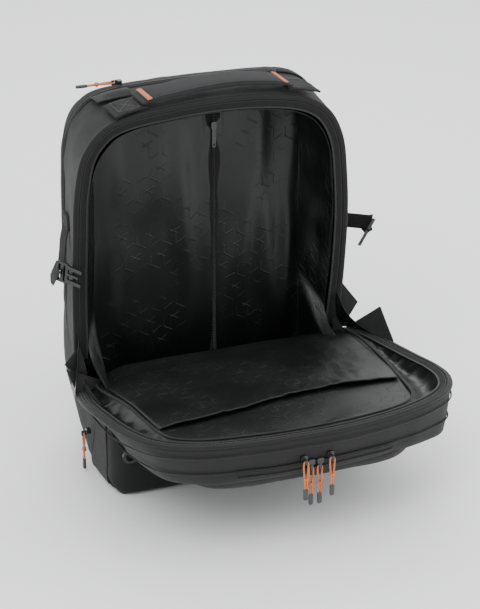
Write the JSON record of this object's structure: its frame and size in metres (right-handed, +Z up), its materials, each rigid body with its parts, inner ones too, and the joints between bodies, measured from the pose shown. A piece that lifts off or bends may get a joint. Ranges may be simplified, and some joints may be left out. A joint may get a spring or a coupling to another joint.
{
  "type": "travel backpack",
  "caption": "Suitcase-opening travel backpack standing on its base with the front lid let down, side clips, carry handle and corded zip pulls.",
  "frame": {"origin": "on the ground under the line of the zip ends, on the middle of the bag's width", "axes": "+X to the right of a person facing the open bag, +Y towards the wearer's back, +Z up"},
  "size_m": [0.4565, 0.4883, 0.4835],
  "materials": {
    "shell_fabric": "matte coated ripstop, charcoal",
    "liner_fabric": "thin semi-gloss nylon with an embossed pattern",
    "panel_fabric": "printed polyester, dark grey",
    "mesh_fabric": "padded air mesh",
    "webbing": "ribbed webbing, black",
    "zip_tape": "woven zip tape with coil, black",
    "binding": "folded edge binding",
    "plastic": "moulded acetal, black",
    "metal": "black lacquered die cast",
    "rubber_end": "soft grey rubber",
    "orange_cord": "braided cord, orange",
    "foam": "closed cell foam",
    "board": "polyethylene sheet"
  },
  "bodies": {
    "pack": {"main_shell": "shell_fabric", "rear_shell": "shell_fabric", "liner": "liner_fabric", "base_board": "board", "liner_zip": "zip_tape", "laptop_sleeve": "foam", "frame_sheet": "board", "rear_zip": "zip_tape", "back_pads": "mesh_fabric", "body_zip": "zip_tape", "body_binding": "binding", "sewn_patches": "webbing", "shoulder_strap_left": "mesh_fabric", "shoulder_strap_right": "mesh_fabric", "lower_webs": "webbing", "ladder_locks": "plastic", "sternum_web": "webbing", "sternum_socket": "plastic", "side_gussets": "liner_fabric"},
    "lid": {"lid_shell": "shell_fabric", "lid_binding": "binding", "lid_zip": "zip_tape", "lid_panel": "panel_fabric", "lid_pocket": "panel_fabric", "front_pocket": "shell_fabric", "front_zips": "zip_tape", "buckle_socket_left": "plastic", "buckle_socket_right": "plastic"},
    "liner_zip_slider": {"liner_slider": "metal"},
    "handle": {"handle_grip": "webbing"},
    "ring": {"d_ring": "metal"},
    "strap_left": {"side_web_left": "webbing"},
    "plug_left": {"buckle_plug_left": "plastic"},
    "strap_right": {"side_web_right": "webbing"},
    "plug_right": {"buckle_plug_right": "plastic"},
    "sternum_clip": {"sternum_plug": "plastic"},
    "main_zip_left": {"main_slider_left": "metal"},
    "main_zip_right": {"main_slider_right": "metal"},
    "front_1_zip": {"front_1_slider": "metal"},
    "front_1_pull": {"front_1_cord": "orange_cord", "front_1_end": "rubber_end"},
    "front_2_zip": {"front_2_slider": "metal"},
    "front_2_pull": {"front_2_cord": "orange_cord", "front_2_end": "rubber_end"},
    "front_3_zip": {"front_3_slider": "metal"},
    "front_3_pull": {"front_3_cord": "orange_cord", "front_3_end": "rubber_end"},
    "front_4_zip": {"front_4_slider": "metal"},
    "front_4_pull": {"front_4_cord": "orange_cord", "front_4_end": "rubber_end"},
    "side_zip": {"side_slider": "metal"},
    "side_pull": {"side_cord": "orange_cord", "side_end": "rubber_end"},
    "top_zip": {"top_slider": "metal"},
    "top_pull": {"top_cord": "orange_cord", "top_end": "rubber_end"}
  },
  "joints": [
    {"name": "lid_hinge", "type": "hinge", "parent": "pack", "child": "lid", "pos_m": [0, 0, 0.116], "axis": [-1, 0, 0], "range_deg": [0, 77.7]},
    {"name": "handle_lift", "type": "slide", "parent": "pack", "child": "handle", "axis": [0, 0, 1], "range_m": [0, 0.012]},
    {"name": "ring_swing", "type": "hinge", "parent": "pack", "child": "ring", "pos_m": [-0.158, -0.1441, 0.0633], "axis": [-1, 0, 0], "range_deg": [0, 75]},
    {"name": "strap_left_swing", "type": "hinge", "parent": "pack", "child": "strap_left", "pos_m": [-0.1786, 0.02, 0.305], "axis": [0, 1, 0], "range_deg": [0, 55]},
    {"name": "plug_left_tilt", "type": "hinge", "parent": "strap_left", "child": "plug_left", "pos_m": [-0.1957, -0.004, 0.251], "axis": [0.068, -0.1046, 0.9922], "range_deg": [-40, 0]},
    {"name": "strap_right_swing", "type": "hinge", "parent": "pack", "child": "strap_right", "pos_m": [0.1725, 0.038, 0.252], "axis": [0, 0, 1], "range_deg": [-5, 35]},
    {"name": "plug_right_tilt", "type": "hinge", "parent": "strap_right", "child": "plug_right", "pos_m": [0.231, 0.01, 0.247], "axis": [0.3446, 0.8518, -0.3946], "range_deg": [-20, 8]},
    {"name": "sternum_release", "type": "slide", "parent": "pack", "child": "sternum_clip", "axis": [1, 0, 0], "range_m": [0, 0.03]},
    {"name": "liner_zip_slide", "type": "slide", "parent": "pack", "child": "liner_zip_slider", "axis": [0, 0, 1], "range_m": [-0.3, 0]},
    {"name": "main_zip_left_slide", "type": "slide", "parent": "pack", "child": "main_zip_left", "axis": [0, -0.1071, 0.9942], "range_m": [0, 0.2]},
    {"name": "main_zip_right_slide", "type": "slide", "parent": "pack", "child": "main_zip_right", "axis": [0, -0.1071, 0.9942], "range_m": [0, 0.2]},
    {"name": "front_1_slide", "type": "slide", "parent": "lid", "child": "front_1_zip", "axis": [-1, 0, 0], "range_m": [0, 0.085]},
    {"name": "front_1_swing", "type": "hinge", "parent": "front_1_zip", "child": "front_1_pull", "pos_m": [-0.02, -0.35583, 0.12118], "axis": [1, 0, 0], "range_deg": [-70, 15]},
    {"name": "front_2_slide", "type": "slide", "parent": "lid", "child": "front_2_zip", "axis": [-1, 0, 0], "range_m": [0, 0.085]},
    {"name": "front_2_swing", "type": "hinge", "parent": "front_2_zip", "child": "front_2_pull", "pos_m": [-0.01, -0.34766, 0.10947], "axis": [1, 0, 0], "range_deg": [-70, 15]},
    {"name": "front_3_slide", "type": "slide", "parent": "lid", "child": "front_3_zip", "axis": [1, 0, 0], "range_m": [0, 0.085]},
    {"name": "front_3_swing", "type": "hinge", "parent": "front_3_zip", "child": "front_3_pull", "pos_m": [0.001, -0.34766, 0.10947], "axis": [1, 0, 0], "range_deg": [-70, 15]},
    {"name": "front_4_slide", "type": "slide", "parent": "lid", "child": "front_4_zip", "axis": [1, 0, 0], "range_m": [0, 0.085]},
    {"name": "front_4_swing", "type": "hinge", "parent": "front_4_zip", "child": "front_4_pull", "pos_m": [0.013, -0.35583, 0.12118], "axis": [1, 0, 0], "range_deg": [-70, 15]},
    {"name": "side_slide", "type": "slide", "parent": "pack", "child": "side_zip", "axis": [0, 0, 1], "range_m": [0, 0.04]},
    {"name": "side_swing", "type": "hinge", "parent": "side_zip", "child": "side_pull", "pos_m": [-0.1882, -0.056, 0.053], "axis": [0, 1, 0], "range_deg": [0, 60]},
    {"name": "top_slide", "type": "slide", "parent": "pack", "child": "top_zip", "axis": [1, 0, 0], "range_m": [0, 0.18]},
    {"name": "top_swing", "type": "hinge", "parent": "top_zip", "child": "top_pull", "pos_m": [-0.1005, 0.056, 0.4619], "axis": [0, 1, 0], "range_deg": [0, 80]}
  ],
  "couplings": [
    {"joint": "strap_left_swing", "follows": "lid_hinge", "ratio": 0.7}
  ]
}
